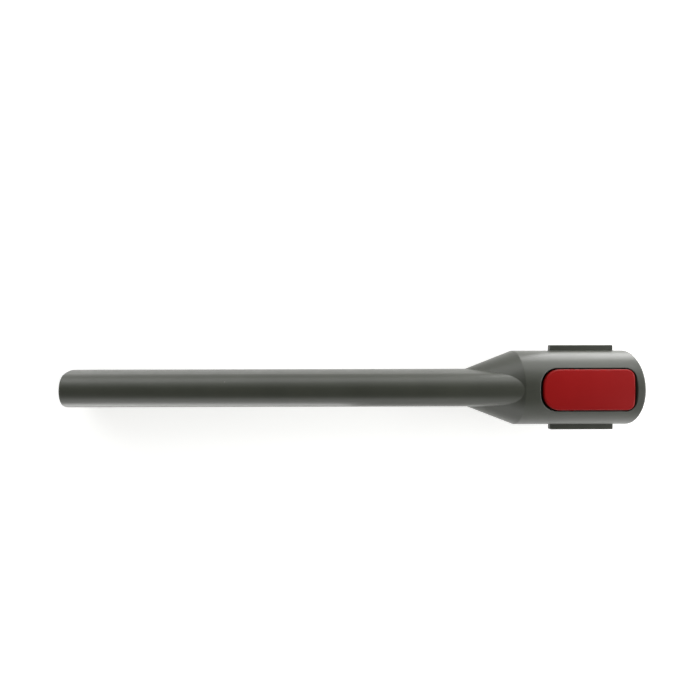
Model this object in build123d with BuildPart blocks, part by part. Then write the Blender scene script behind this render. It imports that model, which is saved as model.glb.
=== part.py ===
"""Crevice nozzle of a cordless vacuum cleaner, with a quick-release collar and a spring-loaded latch.

The origin is on the socket axis at its stop shoulder, where the cleaner's spigot ends.
+X points out of the socket mouth, the tip is at -X, and +Z points up through the release button.
"""

import os
from math import hypot, radians, sqrt, tan

from build123d import *

# Driving dimensions, in millimetres and degrees

# Socket that slips over the cleaner's spigot: a close seat inside and a wider entry
socket_depth = 34.0
seat_radius = 18.0
seat_length = 12.0
entry_clearance = 0.6
socket_lead_in = 0.9

# Collar and the conical shoulder in front of it
collar_wall = 3.4
collar_front_land = 8.2
shoulder_length = 28.0
mouth_chamfer = 1.0
collar_front_round = 1.2

# Flat oval tube
nozzle_length = 331.8
tube_half_width = 11.1
tube_crown_drop = 0.2
tube_crown_radius = 9.5
tube_wall = 2.0
tube_root_overlap = 6.0
tip_slant = 15.6
tip_outer_round = 1.1
tip_inner_chamfer = 0.5

# Air passage that runs under the latch, from the socket to the tube
passage_seat_step = 0.2
passage_step = 0.8
passage_rise_length = 22.0

# Thin rail on each side of the collar
rail_from_mouth = 7.1
rail_length = 37.4
rail_height = 3.0
rail_proud = 3.3
rail_round = 0.5

# Keel under the mouth, with the channel that clears the cleaner's contact block
keel_half_width = 11.5
keel_drop = 6.0
keel_flat_length = 26.0
keel_slope_length = 20.0
keel_slope_sink = 2.0
keel_round = 3.0
keel_wall = 2.4
channel_length = 21.0
channel_round = 2.0

# Release button
button_from_mouth = 5.6
button_length = 51.2
button_half_width = 11.4
button_rear_round = 10.0
button_front_round = 4.0
button_crown_drop = 0.8
button_crown_radius = 45.0
button_edge_round = 0.9

# Recess of the button in the collar, with a deep pocket under its thumb end
side_gap = 0.7
front_gap = 0.7
rear_gap = 2.0
floor_gap = 0.3
floor_wall = 0.8
stop_wall = 1.6
pocket_drop = 10.2
pocket_wall = 1.8

# Trunnions on which the button rocks
pivot_drop = 7.6
trunnion_radius = 1.5
trunnion_clearance = 0.05
trunnion_engagement = 1.3
trunnion_end_gap = 0.25
lug_radius = 2.2
lug_gap = 0.7
lug_thickness = 2.2
lug_root_length = 11.0
lug_root_sink = 0.5

# Latch hook under the mouth end of the button
hook_from_mouth = 17.0
hook_half_width = 4.5
hook_reach = 2.4
hook_flat_length = 1.2
hook_length = 4.6
hook_root_drop = 0.8
hook_slot_gap = 0.8

# Return spring under the thumb end of the button
spring_from_rear = 7.0
spring_outer_radius = 3.2
spring_wire_radius = 0.35
spring_wire_flats = 8
spring_turns = 4.0
spring_pad_radius = 4.0
spring_pad_drop = 0.8
spring_pad_gap = 0.1
spring_post_clearance = 0.4
floor_post_height = 3.5
button_post_height = 1.7

# Radii and heights that follow from the sizes above
entry_radius = seat_radius + entry_clearance
collar_radius = entry_radius + collar_wall
rail_half_span = collar_radius + rail_proud
tube_half_depth = collar_radius - tube_crown_drop
keel_depth = collar_radius + keel_drop
floor_radius = entry_radius + floor_wall
underside_radius = floor_radius + floor_gap
crown_height = collar_radius - button_crown_drop
button_core_height = crown_height - button_edge_round
pocket_floor_height = collar_radius - pocket_drop
pivot_height = collar_radius - pivot_drop
hook_bottom_height = entry_radius - hook_reach
spring_pad_height = underside_radius - spring_pad_drop
spring_height = spring_pad_height - spring_pad_gap - pocket_floor_height
post_radius = spring_outer_radius - 2 * spring_wire_radius - spring_post_clearance

# Places along the axis, from the mouth back to the tip
mouth_x = socket_depth
button_front_x = mouth_x - button_from_mouth
button_rear_x = button_front_x - button_length
recess_front_x = button_front_x + front_gap
recess_rear_x = button_rear_x - rear_gap
hook_x = mouth_x - hook_from_mouth
pocket_front_x = -stop_wall
pivot_x = pocket_front_x - lug_gap - lug_radius
spring_x = button_rear_x + spring_from_rear
front_x = recess_rear_x - collar_front_land
shoulder_x = front_x - shoulder_length
tip_x = mouth_x - nozzle_length
tip_rise = tan(radians(tip_slant))
tube_end_x = tip_x - tube_half_depth * tip_rise - tube_wall

# Places across the collar
recess_half_width = button_half_width + side_gap
lug_inner_y = button_half_width - lug_thickness
lug_root_height = sqrt(underside_radius**2 - lug_inner_y**2) + lug_root_sink
trunnion_reach = recess_half_width + trunnion_engagement

# Duct of the tube, and the passage to it between the pocket's floor and the socket's lower side
duct_half_width = tube_half_width - tube_wall
duct_half_depth = tube_half_depth - tube_wall
duct_crown_radius = tube_crown_radius - tube_wall
passage_half_width = duct_half_width - passage_step
passage_crown_radius = duct_crown_radius - passage_step
rise_half_width = passage_half_width - passage_step
rise_crown_radius = passage_crown_radius - passage_step
passage_top = pocket_floor_height - pocket_wall
passage_bottom = passage_seat_step - seat_radius
passage_middle = (passage_top + passage_bottom) / 2
passage_half_depth = (passage_top - passage_bottom) / 2
passage_fall = duct_half_depth - passage_step + passage_bottom
passage_start_x = seat_length / 2
passage_rise_x = recess_rear_x - pocket_wall
duct_root_x = passage_rise_x - passage_rise_length
rise_start_height = passage_top - passage_fall
rise_height = duct_half_depth - passage_step - rise_start_height


def rounded_pad(rear_x, front_x, half_width, rear_round, front_round):
    """Plan outline of the button or its recess, with full rear corners and tight front ones."""
    with BuildSketch(Plane.XY) as pad:
        with Locations(((rear_x + front_x) / 2, 0)):
            Rectangle(front_x - rear_x, 2 * half_width)
        fillet(pad.vertices().group_by(Axis.X)[0], radius=rear_round)
        fillet(pad.vertices().group_by(Axis.X)[-1], radius=front_round)
    return pad.sketch


def flat_oval(half_width, half_depth, crown_radius):
    """Flat oval of four tangent arcs: a crown above and below, and a broad flank at each side."""
    crown_height = half_depth - crown_radius
    flank_radius = (half_width**2 + crown_height**2 - crown_radius**2) / (2 * (half_width - crown_radius))
    joint_y = (flank_radius - half_width) * crown_radius / (flank_radius - crown_radius)
    joint_z = flank_radius * crown_height / (flank_radius - crown_radius)
    with BuildSketch() as oval:
        with BuildLine():
            ThreePointArc((joint_y, joint_z), (0, half_depth), (-joint_y, joint_z))
            ThreePointArc((-joint_y, joint_z), (-half_width, 0), (-joint_y, -joint_z))
            ThreePointArc((-joint_y, -joint_z), (0, -half_depth), (joint_y, -joint_z))
            ThreePointArc((joint_y, -joint_z), (half_width, 0), (joint_y, joint_z))
        make_face()
    return oval.sketch


def tip_rim(body):
    """Flat rim of the tube at the tip."""
    return body.faces().filter_by(GeomType.PLANE).sort_by(Axis.X)[0]


button_outline = rounded_pad(
    button_rear_x, button_front_x, button_half_width, button_rear_round, button_front_round
)
recess_outline = rounded_pad(
    recess_rear_x,
    recess_front_x,
    recess_half_width,
    button_rear_round + side_gap,
    button_front_round + side_gap,
)

# Side rails: one thin bar through the collar's mid-height, with rounded outer edges
with BuildPart() as side_rails:
    with BuildSketch(Plane.XY.offset(-rail_height / 2)):
        with Locations((mouth_x - rail_from_mouth - rail_length / 2, 0)):
            Rectangle(rail_length, 2 * rail_half_span)
    extrude(amount=rail_height)
    fillet(side_rails.faces().filter_by(Axis.Y).edges(), radius=rail_round)

# Keel: flat underneath at the mouth, then sloping up into the collar
with BuildPart() as keel:
    with BuildSketch(Plane.XZ):
        with BuildLine():
            Polyline(
                (mouth_x, 0),
                (mouth_x, -keel_depth),
                (mouth_x - keel_flat_length, -keel_depth),
                (mouth_x - keel_flat_length - keel_slope_length, keel_slope_sink - collar_radius),
                (mouth_x - keel_flat_length - keel_slope_length, 0),
                close=True,
            )
        make_face()
    extrude(amount=keel_half_width, both=True)
    fillet(keel.edges().filter_by(Axis.X).group_by(Axis.Z)[0], radius=keel_round)

# Channel in the keel, open at the mouth and into the socket
with BuildPart() as contact_channel:
    with BuildSketch(Plane.YZ.offset(mouth_x - channel_length)):
        with Locations((0, -keel_depth / 2)):
            RectangleRounded(2 * (keel_half_width - keel_wall), keel_depth - 2 * keel_wall, channel_round)
    extrude(amount=channel_length + socket_lead_in)

# Room for the button: a shallow floor over the socket, a deep pocket behind it and a slot for the hook
with BuildPart() as button_recess:
    extrude(recess_outline, amount=rail_half_span)
    with BuildSketch(Plane.YZ.offset(pocket_front_x)):
        Circle(floor_radius)
    extrude(amount=mouth_x - pocket_front_x, mode=Mode.SUBTRACT)
    with BuildSketch(Plane.XY):
        with Locations((pocket_front_x, 0)):
            Rectangle(button_length, 2 * collar_radius, align=(Align.MAX, Align.CENTER))
    extrude(amount=pocket_floor_height, mode=Mode.SUBTRACT)
    with BuildSketch(Plane.XY.offset(hook_bottom_height)):
        with Locations((hook_x + hook_length / 2, 0)):
            Rectangle(hook_length + 2 * hook_slot_gap, 2 * (hook_half_width + hook_slot_gap))
    extrude(amount=floor_radius - hook_bottom_height)

# Nozzle body: collar, shoulder and tube in one moulding
with BuildPart() as nozzle_body:
    with BuildSketch(Plane.XZ) as collar_profile:
        with BuildLine():
            Polyline(
                (mouth_x, 0),
                (mouth_x, collar_radius),
                (front_x, collar_radius),
                (shoulder_x, tube_half_width),
                (shoulder_x, 0),
                close=True,
            )
        make_face()
        collar_corners = collar_profile.vertices().group_by(Axis.Y)[-1].sort_by(Axis.X)
        chamfer(collar_corners[-1], length=mouth_chamfer)
        fillet(collar_corners[0], radius=collar_front_round)
    revolve(axis=Axis.X)
    with BuildSketch(Plane.YZ.offset(tube_end_x)):
        add(flat_oval(tube_half_width, tube_half_depth, tube_crown_radius))
    extrude(amount=front_x + tube_root_overlap - tube_end_x)
    add(side_rails.part)
    add(keel.part)

    # Socket: the close seat, the wider entry and a lead-in at the mouth
    with BuildSketch(Plane.XZ):
        with BuildLine():
            Polyline(
                (0, 0),
                (0, seat_radius),
                (seat_length, seat_radius),
                (seat_length + entry_clearance, entry_radius),
                (mouth_x - socket_lead_in, entry_radius),
                (mouth_x, entry_radius + socket_lead_in),
                (mouth_x, 0),
                close=True,
            )
        make_face()
    revolve(axis=Axis.X, mode=Mode.SUBTRACT)
    add(contact_channel.part, mode=Mode.SUBTRACT)

    # Air way: under the latch pocket, up into the full depth of the tube, then along the tube
    passage_run = (duct_root_x - passage_start_x, 0, -passage_fall)
    with BuildSketch(Plane((passage_start_x, 0, passage_middle), x_dir=(0, 1, 0), z_dir=passage_run)):
        add(flat_oval(passage_half_width, passage_half_depth, passage_crown_radius))
    extrude(amount=hypot(*passage_run) + tube_wall, mode=Mode.SUBTRACT)
    rise_run = (-passage_rise_length, 0, rise_height)
    with BuildSketch(Plane((passage_rise_x, 0, rise_start_height), x_dir=(0, 1, 0), z_dir=rise_run)):
        with Locations((0, passage_half_depth)):
            add(flat_oval(rise_half_width, passage_half_depth, rise_crown_radius))
    extrude(amount=hypot(*rise_run) + passage_step, mode=Mode.SUBTRACT)
    with BuildSketch(Plane.YZ.offset(tube_end_x)):
        add(flat_oval(duct_half_width, duct_half_depth, duct_crown_radius))
    extrude(amount=duct_root_x - tube_end_x, mode=Mode.SUBTRACT)

    # Slanted tip, longer underneath, with a rounded rim
    split(bisect_by=Plane(origin=(tip_x, 0, 0), x_dir=(0, 1, 0), z_dir=(1, 0, -tip_rise)), keep=Keep.TOP)
    fillet(tip_rim(nozzle_body).outer_wire().edges(), radius=tip_outer_round)
    chamfer(tip_rim(nozzle_body).inner_wires()[0].edges(), length=tip_inner_chamfer)

    # Recess for the button, trunnion seats in its side walls and the post that centres the spring
    add(button_recess.part, mode=Mode.SUBTRACT)
    with BuildSketch(Plane.XZ):
        with Locations((pivot_x, pivot_height)):
            Circle(trunnion_radius + trunnion_clearance)
    extrude(amount=trunnion_reach + trunnion_end_gap, both=True, mode=Mode.SUBTRACT)
    with BuildSketch(Plane.XY.offset(pocket_floor_height)):
        with Locations((spring_x, 0)):
            Circle(post_radius)
    extrude(amount=floor_post_height)

# Release button: a crowned rocker with two trunnions, a latch hook and a spring post underneath
with BuildPart() as release_button:
    extrude(button_outline, amount=rail_half_span)
    with BuildSketch(Plane.YZ.offset(recess_rear_x)):
        with Locations((0, crown_height - button_crown_radius)):
            Circle(button_crown_radius)
    extrude(amount=recess_front_x - recess_rear_x, mode=Mode.INTERSECT)
    with BuildSketch(Plane.YZ.offset(recess_rear_x)):
        Circle(underside_radius)
    extrude(amount=recess_front_x - recess_rear_x, mode=Mode.SUBTRACT)
    fillet(release_button.faces().sort_by(Axis.Z)[-1].edges(), radius=button_edge_round)

    # A lug at each side, with its trunnion pointing outwards
    for side in (-1, 1):
        with BuildSketch(Plane.XZ.offset(-side * button_half_width)):
            with Locations((pivot_x, pivot_height)):
                Circle(lug_radius)
            with BuildLine():
                Polyline(
                    (pivot_x + lug_radius, pivot_height),
                    (pivot_x + lug_radius, lug_root_height),
                    (pivot_x + lug_radius - lug_root_length, lug_root_height),
                    (pivot_x - lug_radius, pivot_height),
                    close=True,
                )
            make_face()
        extrude(amount=side * lug_thickness)
        with BuildSketch(Plane.XZ.offset(-side * trunnion_reach)):
            with Locations((pivot_x, pivot_height)):
                Circle(trunnion_radius)
        extrude(amount=side * (trunnion_reach - lug_inner_y))

    # Hook with a square catch face inwards and a ramp towards the mouth
    with BuildSketch(Plane.XZ):
        with BuildLine():
            Polyline(
                (hook_x, button_core_height),
                (hook_x, hook_bottom_height),
                (hook_x + hook_flat_length, hook_bottom_height),
                (hook_x + hook_length, underside_radius - hook_root_drop),
                (hook_x + hook_length, button_core_height),
                close=True,
            )
        make_face()
    extrude(amount=hook_half_width, both=True)

    # Flat pad and post for the spring
    with BuildSketch(Plane.XY.offset(spring_pad_height)):
        with Locations((spring_x, 0)):
            Circle(spring_pad_radius)
    extrude(amount=button_core_height - spring_pad_height)
    with BuildSketch(Plane.XY.offset(spring_pad_height)):
        with Locations((spring_x, 0)):
            Circle(post_radius)
    extrude(amount=-button_post_height)

# Return spring: a coil with ground ends between the pocket's floor and the button's pad
# Its thin wire has flats, which keeps the coil light
with BuildPart() as return_spring:
    with BuildLine():
        coil = Helix(
            pitch=spring_height / spring_turns,
            height=spring_height,
            radius=spring_outer_radius - spring_wire_radius,
            center=(spring_x, 0, pocket_floor_height),
        )
    with BuildSketch(Plane(origin=coil @ 0, z_dir=coil % 0)):
        RegularPolygon(spring_wire_radius, spring_wire_flats)
    sweep(is_frenet=True)
    split(bisect_by=Plane.XY.offset(pocket_floor_height), keep=Keep.TOP)
    split(bisect_by=Plane.XY.offset(pocket_floor_height + spring_height), keep=Keep.BOTTOM)

os.makedirs("parts", exist_ok=True)
nozzle_body.part.label = "nozzle_body"
export_step(nozzle_body.part, "parts/nozzle_body.step")
release_button.part.label = "release_button"
export_step(release_button.part, "parts/release_button.step")
return_spring.part.label = "return_spring"
export_step(return_spring.part, "parts/return_spring.step")
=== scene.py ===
"""Crevice nozzle of a cordless vacuum cleaner: grey body, red release button and steel return spring.

Lengths are in metres, in the frame of the solids: +X out of the socket's mouth, +Z up through the button.
"""

from math import atan2, radians

import bpy
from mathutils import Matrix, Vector


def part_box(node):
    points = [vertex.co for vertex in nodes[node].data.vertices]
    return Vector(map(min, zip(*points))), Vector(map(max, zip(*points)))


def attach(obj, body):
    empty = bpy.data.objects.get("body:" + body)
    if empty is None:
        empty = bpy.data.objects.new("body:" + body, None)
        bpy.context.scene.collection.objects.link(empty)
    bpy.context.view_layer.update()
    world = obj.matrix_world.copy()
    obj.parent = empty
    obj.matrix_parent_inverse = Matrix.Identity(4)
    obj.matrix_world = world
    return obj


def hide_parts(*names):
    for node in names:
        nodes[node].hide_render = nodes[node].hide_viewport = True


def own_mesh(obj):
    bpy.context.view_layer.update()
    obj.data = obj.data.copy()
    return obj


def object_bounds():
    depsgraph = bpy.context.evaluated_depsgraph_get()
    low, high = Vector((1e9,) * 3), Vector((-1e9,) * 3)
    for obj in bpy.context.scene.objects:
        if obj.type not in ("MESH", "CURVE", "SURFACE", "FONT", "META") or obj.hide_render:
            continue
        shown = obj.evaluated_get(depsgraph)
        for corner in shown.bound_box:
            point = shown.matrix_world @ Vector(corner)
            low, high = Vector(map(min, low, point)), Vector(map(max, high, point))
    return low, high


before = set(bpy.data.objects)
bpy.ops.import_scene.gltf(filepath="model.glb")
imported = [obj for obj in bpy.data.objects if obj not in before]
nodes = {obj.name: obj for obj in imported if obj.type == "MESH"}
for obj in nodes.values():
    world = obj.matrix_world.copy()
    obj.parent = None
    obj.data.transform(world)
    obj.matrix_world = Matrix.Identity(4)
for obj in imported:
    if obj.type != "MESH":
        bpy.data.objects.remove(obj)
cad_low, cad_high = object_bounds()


# Shader groups that the finishes share

number_socket = "NodeSocketFloat"
colour_socket = "NodeSocketColor"
vector_socket = "NodeSocketVector"

noise_mean = 0.5
gloss_patch_scale = 90.0
gloss_spot_scale = 420.0
gloss_spot_height = 0.35
cloud_scale = 38.0
cloud_low = 0.3
cloud_high = 0.7
fleck_scale = 1400.0
soft_edge_samples = 4
flat_cosine = 0.985
edge_cosine = 0.86
rub_patch_scale = 160.0
rub_patch_low = 0.35
rub_patch_high = 0.7


def shader_group(name, inputs, outputs):
    """An empty shader group with the named sockets: the group, what enters it and what leaves it."""
    group = bpy.data.node_groups.new(name, "ShaderNodeTree")
    for socket, kind in inputs.items():
        group.interface.new_socket(socket, in_out="INPUT", socket_type=kind)
    for socket, kind in outputs.items():
        group.interface.new_socket(socket, in_out="OUTPUT", socket_type=kind)
    entry = group.nodes.new("NodeGroupInput")
    leave = group.nodes.new("NodeGroupOutput")
    return group, entry.outputs, leave.inputs


def feed(tree, socket, source):
    """Sets a socket to a number or a colour, or links another socket into it."""
    if isinstance(source, (int, float, tuple)):
        socket.default_value = source
    else:
        tree.links.new(source, socket)


def math_node(tree, operation, first, second, clamp=False):
    """A math node fed by sockets or numbers, and its value socket."""
    node = tree.nodes.new("ShaderNodeMath")
    node.operation = operation
    node.use_clamp = clamp
    feed(tree, node.inputs[0], first)
    feed(tree, node.inputs[1], second)
    return node.outputs["Value"]


def vector_math_node(tree, operation, first, second):
    """A vector math node fed by sockets or plain vectors, and its value socket."""
    node = tree.nodes.new("ShaderNodeVectorMath")
    node.operation = operation
    feed(tree, node.inputs[0], first)
    feed(tree, node.inputs[1], second)
    return node.outputs["Value"]


def noise_node(tree, vector, scale, detail, roughness):
    """A noise texture on the given coordinates, and its factor socket."""
    node = tree.nodes.new("ShaderNodeTexNoise")
    node.inputs["Detail"].default_value = detail
    node.inputs["Roughness"].default_value = roughness
    tree.links.new(vector, node.inputs["Vector"])
    feed(tree, node.inputs["Scale"], scale)
    return node.outputs["Fac"]


def remap_node(tree, value, from_low, from_high, to_low=0.0, to_high=1.0):
    """A clamped map range node, and its result socket."""
    node = tree.nodes.new("ShaderNodeMapRange")
    node.clamp = True
    tree.links.new(value, node.inputs["Value"])
    limits = {"From Min": from_low, "From Max": from_high, "To Min": to_low, "To Max": to_high}
    for socket, limit in limits.items():
        node.inputs[socket].default_value = limit
    return node.outputs["Result"]


def mix_node(tree, mask, base, over):
    """A colour laid over another where the mask is 1, and the result socket."""
    node = tree.nodes.new("ShaderNodeMix")
    node.data_type = "RGBA"
    tree.links.new(mask, node.inputs["Factor"])
    feed(tree, node.inputs["A"], base)
    feed(tree, node.inputs["B"], over)
    return node.outputs["Result"]


def moulded_grain_group():
    """Fine grain of a mould: a height for bump, and a roughness that wanders in patches and spots."""
    group, entry, leave = shader_group(
        "moulded_grain",
        {
            "Vector": vector_socket,
            "Scale": number_socket,
            "Roughness": number_socket,
            "Spread": number_socket,
        },
        {"Height": number_socket, "Roughness": number_socket},
    )
    grain = noise_node(group, entry["Vector"], entry["Scale"], detail=3.0, roughness=0.6)
    patches = noise_node(group, entry["Vector"], gloss_patch_scale, detail=4.0, roughness=0.55)
    spots = noise_node(group, entry["Vector"], gloss_spot_scale, detail=3.0, roughness=0.5)
    uneven = math_node(group, "SUBTRACT", math_node(group, "ADD", patches, spots), 2 * noise_mean)
    shift = math_node(group, "MULTIPLY", uneven, entry["Spread"])
    rough = math_node(group, "ADD", entry["Roughness"], shift, clamp=True)
    height = math_node(group, "ADD", grain, math_node(group, "MULTIPLY", spots, gloss_spot_height))
    group.links.new(height, leave["Height"])
    group.links.new(rough, leave["Roughness"])
    return group


def colour_drift_group():
    """Slow cloudy drift between two shades, with a little fine flecking."""
    group, entry, leave = shader_group(
        "colour_drift",
        {"Vector": vector_socket, "Shade": colour_socket, "Light": colour_socket, "Fleck": number_socket},
        {"Color": colour_socket},
    )
    clouds = noise_node(group, entry["Vector"], cloud_scale, detail=4.0, roughness=0.55)
    flecks = noise_node(group, entry["Vector"], fleck_scale, detail=2.0, roughness=0.6)
    drift = remap_node(group, clouds, cloud_low, cloud_high)
    off_mean = math_node(group, "SUBTRACT", flecks, noise_mean)
    flecking = math_node(group, "MULTIPLY", off_mean, entry["Fleck"])
    lighter = math_node(group, "ADD", drift, flecking, clamp=True)
    group.links.new(mix_node(group, lighter, entry["Shade"], entry["Light"]), leave["Color"])
    return group


def dust_specks_group():
    """Sparse pale dust specks: a mask that is 1 on a speck."""
    group, entry, leave = shader_group(
        "dust_specks",
        {"Vector": vector_socket, "Scale": number_socket, "Share": number_socket, "Size": number_socket},
        {"Mask": number_socket},
    )
    cells = group.nodes.new("ShaderNodeTexVoronoi")
    group.links.new(entry["Vector"], cells.inputs["Vector"])
    group.links.new(entry["Scale"], cells.inputs["Scale"])
    pick = group.nodes.new("ShaderNodeSeparateColor")
    group.links.new(cells.outputs["Color"], pick.inputs["Color"])
    chosen = math_node(group, "LESS_THAN", pick.outputs["Red"], entry["Share"])
    small = math_node(group, "LESS_THAN", cells.outputs["Distance"], entry["Size"])
    group.links.new(math_node(group, "MULTIPLY", chosen, small), leave["Mask"])
    return group


def edge_wear_group():
    """Rubbed edges: a mask where a softened normal leaves the true one, in patches, and that normal."""
    group, entry, leave = shader_group(
        "edge_wear",
        {"Vector": vector_socket, "Width": number_socket, "Amount": number_socket},
        {"Mask": number_socket, "Normal": vector_socket},
    )
    soft = group.nodes.new("ShaderNodeBevel")
    soft.samples = soft_edge_samples
    group.links.new(entry["Width"], soft.inputs["Radius"])
    surface = group.nodes.new("ShaderNodeNewGeometry")
    cosine = vector_math_node(group, "DOT_PRODUCT", soft.outputs["Normal"], surface.outputs["Normal"])
    edge = remap_node(group, cosine, flat_cosine, edge_cosine)
    rubs = noise_node(group, entry["Vector"], rub_patch_scale, detail=5.0, roughness=0.65)
    patches = remap_node(group, rubs, rub_patch_low, rub_patch_high)
    rubbed = math_node(group, "MULTIPLY", edge, patches)
    worn = math_node(group, "MULTIPLY", rubbed, entry["Amount"], clamp=True)
    group.links.new(worn, leave["Mask"])
    group.links.new(soft.outputs["Normal"], leave["Normal"])
    return group


moulded_grain = moulded_grain_group()
colour_drift = colour_drift_group()
dust_specks = dust_specks_group()
edge_wear = edge_wear_group()


# Finishes

plastic_fleck = 0.35
plastic_edge_width = 0.0007
plastic_grain_depth = 0.00002
speck_scale = 210.0
steel_fleck = 0.5
steel_grain_depth = 0.00001


def new_finish(name):
    """A new material, its node tree, its shader and its object coordinates."""
    material = bpy.data.materials.new(name)
    material.use_nodes = True
    tree = material.node_tree
    vector = tree.nodes.new("ShaderNodeTexCoord").outputs["Object"]
    return material, tree, tree.nodes["Principled BSDF"], vector


def place_group(tree, group, vector, values):
    """Puts a shared group into a material on its object coordinates, with its own values."""
    node = tree.nodes.new("ShaderNodeGroup")
    node.node_tree = group
    tree.links.new(vector, node.inputs["Vector"])
    for socket, value in values.items():
        node.inputs[socket].default_value = value
    return node


def lay_grain(tree, shader, vector, gloss, depth):
    """Lays fine grain on a finish, in its roughness and as bump, and gives the bump node."""
    values = {"Scale": gloss["grain"], "Roughness": gloss["roughness"], "Spread": gloss["spread"]}
    grain = place_group(tree, moulded_grain, vector, values)
    tree.links.new(grain.outputs["Roughness"], shader.inputs["Roughness"])
    bump = tree.nodes.new("ShaderNodeBump")
    bump.inputs["Strength"].default_value = gloss["bump"]
    bump.inputs["Distance"].default_value = depth
    tree.links.new(grain.outputs["Height"], bump.inputs["Height"])
    tree.links.new(bump.outputs["Normal"], shader.inputs["Normal"])
    return bump


def moulded_plastic(name, shade, light, worn, dust, gloss):
    """A moulded plastic: drifting colour, soft and rubbed edges, dust specks and mould grain."""
    material, tree, shader, vector = new_finish(name)
    drift_values = {"Shade": shade, "Light": light, "Fleck": plastic_fleck}
    wear_values = {"Width": plastic_edge_width, "Amount": worn["amount"]}
    speck_values = {"Scale": speck_scale, "Share": dust["share"], "Size": dust["size"]}
    drift = place_group(tree, colour_drift, vector, drift_values)
    wear = place_group(tree, edge_wear, vector, wear_values)
    specks = place_group(tree, dust_specks, vector, speck_values)
    rubbed = mix_node(tree, wear.outputs["Mask"], drift.outputs["Color"], worn["colour"])
    dusty = mix_node(tree, specks.outputs["Mask"], rubbed, dust["colour"])
    tree.links.new(dusty, shader.inputs["Base Color"])
    bump = lay_grain(tree, shader, vector, gloss, plastic_grain_depth)
    tree.links.new(wear.outputs["Normal"], bump.inputs["Normal"])
    shader.inputs["Specular IOR Level"].default_value = gloss["specular"]
    return material


def drawn_steel(name, shade, light, gloss):
    """Bright drawn spring wire: a little uneven in shade, with the fine marks of the die."""
    material, tree, shader, vector = new_finish(name)
    drift = place_group(tree, colour_drift, vector, {"Shade": shade, "Light": light, "Fleck": steel_fleck})
    tree.links.new(drift.outputs["Color"], shader.inputs["Base Color"])
    lay_grain(tree, shader, vector, gloss, steel_grain_depth)
    shader.inputs["Metallic"].default_value = 1.0
    return material


def dress(piece, material):
    """Gives a piece one material all over."""
    piece.data.materials.clear()
    piece.data.materials.append(material)


grey_plastic = moulded_plastic(
    "grey_plastic",
    shade=(0.0390, 0.0424, 0.0314, 1),
    light=(0.0480, 0.0522, 0.0388, 1),
    worn={"amount": 0.35, "colour": (0.092, 0.095, 0.084, 1)},
    dust={"share": 0.012, "size": 0.06, "colour": (0.24, 0.24, 0.22, 1)},
    gloss={"grain": 3200.0, "roughness": 0.34, "spread": 0.08, "bump": 0.25, "specular": 0.5},
)
red_plastic = moulded_plastic(
    "red_plastic",
    shade=(0.296, 0.0046, 0.0048, 1),
    light=(0.334, 0.0058, 0.0060, 1),
    worn={"amount": 0.25, "colour": (0.40, 0.05, 0.045, 1)},
    dust={"share": 0.006, "size": 0.05, "colour": (0.55, 0.30, 0.28, 1)},
    gloss={"grain": 3600.0, "roughness": 0.38, "spread": 0.06, "bump": 0.15, "specular": 0.12},
)
spring_steel = drawn_steel(
    "spring_steel",
    shade=(0.44, 0.44, 0.43, 1),
    light=(0.60, 0.60, 0.59, 1),
    gloss={"grain": 9000.0, "roughness": 0.28, "spread": 0.15, "bump": 0.2},
)

dress(nodes["nozzle_body"], grey_plastic)
dress(nodes["release_button"], red_plastic)


# Return spring, coiled from round wire

wire_radius = 0.00035
wire_sides = 16
coil_turns = 4
steps_per_turn = 48
same_point = 1e-7
upright = (radians(90), 0, 0)
smooth_angle = radians(40)


def select_all_points(piece):
    """Makes a piece the only active one, in edit mode with everything selected."""
    bpy.ops.object.select_all(action="DESELECT")
    piece.select_set(True)
    bpy.context.view_layer.objects.active = piece
    bpy.ops.object.mode_set(mode="EDIT")
    bpy.ops.mesh.select_all(action="SELECT")


def coil_spring(name, low, high):
    """A coil of round wire that fills a box, with both ends ground flat."""
    coil_radius = (high[1] - low[1]) / 2 - wire_radius
    centre = ((low[0] + high[0]) / 2, (low[1] + high[1]) / 2)
    bpy.ops.object.select_all(action="DESELECT")
    bpy.ops.mesh.primitive_circle_add(
        vertices=wire_sides, radius=wire_radius, location=(coil_radius, 0, 0), rotation=upright
    )
    spring = bpy.context.active_object
    spring.name = name
    bpy.ops.object.transform_apply(location=True, rotation=True, scale=True)
    coil = spring.modifiers.new("coil", "SCREW")
    coil.screw_offset = (high[2] - low[2]) / coil_turns
    coil.iterations = coil_turns
    coil.steps = steps_per_turn
    coil.render_steps = steps_per_turn
    bpy.ops.object.modifier_apply(modifier=coil.name)
    spring.location = (*centre, low[2])
    bpy.ops.object.transform_apply(location=True, rotation=True, scale=True)

    select_all_points(spring)
    bpy.ops.mesh.remove_doubles(threshold=same_point)
    bpy.ops.mesh.select_mode(type="EDGE")
    bpy.ops.mesh.select_all(action="DESELECT")
    bpy.ops.mesh.select_non_manifold(extend=False)
    bpy.ops.mesh.fill_holes(sides=0)
    for height, up in ((low[2], 1), (high[2], -1)):
        bpy.ops.mesh.select_all(action="SELECT")
        bpy.ops.mesh.bisect(
            plane_co=(*centre, height),
            plane_no=(0, 0, up),
            use_fill=True,
            clear_inner=True,
            threshold=same_point,
        )
    bpy.ops.mesh.select_all(action="SELECT")
    bpy.ops.mesh.normals_make_consistent(inside=False)
    bpy.ops.object.mode_set(mode="OBJECT")
    bpy.ops.object.shade_smooth_by_angle(angle=smooth_angle)
    return spring


spring_low, spring_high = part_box("return_spring")
return_spring = coil_spring("return_coil", spring_low, spring_high)
dress(return_spring, spring_steel)
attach(return_spring, "nozzle")
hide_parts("return_spring")
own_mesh(return_spring)


# Floor and backdrop: the nozzle lies on the keel's rear edge and the tip's lower edge

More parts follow.
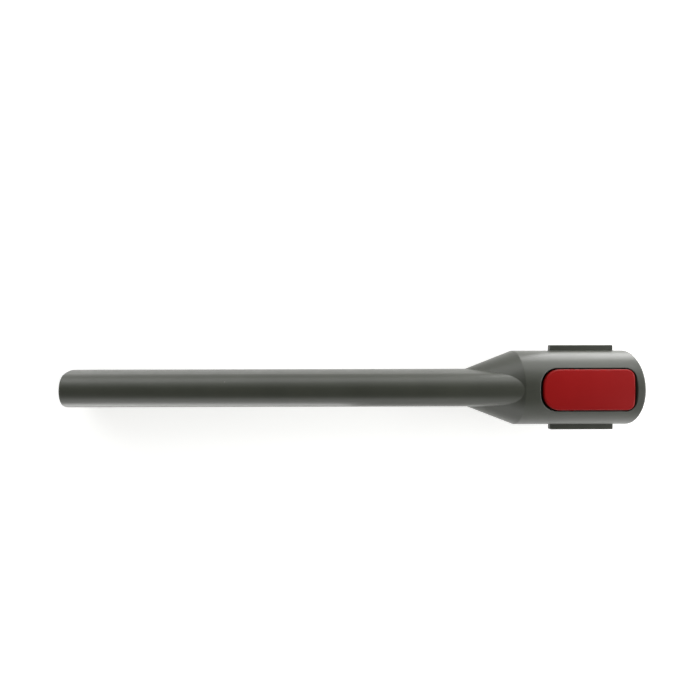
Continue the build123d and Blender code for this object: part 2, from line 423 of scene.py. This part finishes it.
middle = (-0.13, 0, 0)
keel_edge_x = 0.008
keel_edge_z = cad_low[2]
tip_rounding = 0.002
tip_edge_x = cad_low[0] + tip_rounding
tip_edge_z = -0.0218
floor_tilt = atan2(tip_edge_z - keel_edge_z, keel_edge_x - tip_edge_x)
floor_size = 12.0
floor_gap = 0.0002
paper_colour = (0.88, 0.88, 0.87, 1)
paper_roughness = 0.9
paper_glow_colour = (1, 1, 0.985, 1)
near_reach = 0.40
far_reach = 0.75
near_glow = 0.60
far_glow = 1.0
room_level = 0.20
white_level = 1.0
white_sky_top = 0.59
plain_sky_start = 0.67


def background_rays(tree):
    """1 for rays that show the background: to the camera, or by way of gloss or glass."""
    ray = tree.nodes.new("ShaderNodeLightPath")
    shown = math_node(tree, "ADD", ray.outputs["Is Camera Ray"], ray.outputs["Is Glossy Ray"], clamp=True)
    return math_node(tree, "ADD", shown, ray.outputs["Is Transmission Ray"], clamp=True)


def white_paper(name):
    """Plain paper that shows white in the background, a little less near the nozzle for its shadow."""
    material, tree, shader, vector = new_finish(name)
    shader.inputs["Base Color"].default_value = paper_colour
    shader.inputs["Roughness"].default_value = paper_roughness
    shader.inputs["Specular IOR Level"].default_value = 0.0
    shader.inputs["Emission Color"].default_value = paper_glow_colour
    away = vector_math_node(tree, "DISTANCE", vector, middle)
    glow = remap_node(tree, away, near_reach, far_reach, near_glow, far_glow)
    shown_glow = math_node(tree, "MULTIPLY", background_rays(tree), glow)
    tree.links.new(shown_glow, shader.inputs["Emission Strength"])
    return material


def studio_world(name):
    """A dim even room, whose lower part shows white in the background."""
    made = bpy.data.worlds.new(name)
    made.use_nodes = True
    tree = made.node_tree
    backdrop = tree.nodes["Background"]
    backdrop.inputs["Color"].default_value = (1, 1, 1, 1)
    vector = tree.nodes.new("ShaderNodeTexCoord").outputs["Generated"]
    split = tree.nodes.new("ShaderNodeSeparateXYZ")
    tree.links.new(vector, split.inputs["Vector"])
    low_sky = remap_node(tree, split.outputs["Z"], white_sky_top, plain_sky_start, to_low=1.0, to_high=0.0)
    white_part = math_node(tree, "MULTIPLY", background_rays(tree), low_sky)
    strength = remap_node(tree, white_part, 0.0, 1.0, room_level, white_level)
    tree.links.new(strength, backdrop.inputs["Strength"])
    return made


bpy.ops.object.select_all(action="DESELECT")
bpy.ops.mesh.primitive_plane_add(
    size=floor_size, location=(keel_edge_x, 0, keel_edge_z - floor_gap), rotation=(0, floor_tilt, 0)
)
floor = bpy.context.active_object
floor.name = "floor"
bpy.ops.object.transform_apply(location=True, rotation=True, scale=True)
dress(floor, white_paper("floor_paper"))
bpy.context.scene.world = studio_world("studio")


# Lamps: softboxes behind, in front and off the mouth, and two panels that face up just above the floor

socket_stop = (0, 0, 0)
near_tip = (-0.30, 0, 0)
overhead = 1


def softbox(name, place, aim, width, height, watts):
    """A soft rectangular lamp that points at a place and isn't seen itself."""
    lamp = bpy.data.lights.new(name, "AREA")
    lamp.shape = "RECTANGLE"
    lamp.size = width
    lamp.size_y = height
    lamp.energy = watts
    made = bpy.data.objects.new(name, lamp)
    bpy.context.collection.objects.link(made)
    made.location = place
    made.rotation_mode = "QUATERNION"
    made.rotation_quaternion = (Vector(aim) - Vector(place)).to_track_quat("-Z", "Y")
    made.visible_camera = False


softbox("back_softbox", place=(-0.13, 0.70, 0.23), aim=middle, width=1.8, height=0.42, watts=4.5)
softbox("high_softbox", place=(-0.13, 0.55, 0.65), aim=middle, width=1.6, height=0.40, watts=1.2)
softbox("front_softbox", place=(-0.38, -0.70, 0.20), aim=near_tip, width=1.2, height=0.40, watts=1.3)
softbox("mouth_softbox", place=(0.65, 0, 0.40), aim=socket_stop, width=0.8, height=0.30, watts=5.0)
softbox(
    "back_panel",
    place=(0.075, 0.20, -0.02),
    aim=(0.075, 0.20, overhead),
    width=0.15,
    height=0.30,
    watts=0.6,
)
softbox(
    "front_panel",
    place=(-0.295, -0.19, -0.02),
    aim=(-0.295, -0.19, overhead),
    width=0.33,
    height=0.30,
    watts=0.60,
)


# Camera, close above the nozzle and looking straight down

camera_lens_mm = 22.9
camera_sensor_mm = 36.0
camera_place = (-0.1302, 0.0226, 0.268)
camera_turn = (0, 0, -0.0024)

camera = bpy.data.cameras.new("camera")
camera.lens = camera_lens_mm
camera.sensor_width = camera_sensor_mm
camera_object = bpy.data.objects.new("camera", camera)
bpy.context.collection.objects.link(camera_object)
camera_object.location = camera_place
camera_object.rotation_euler = camera_turn
bpy.context.scene.camera = camera_object
bpy.context.scene.view_settings.view_transform = "Standard"
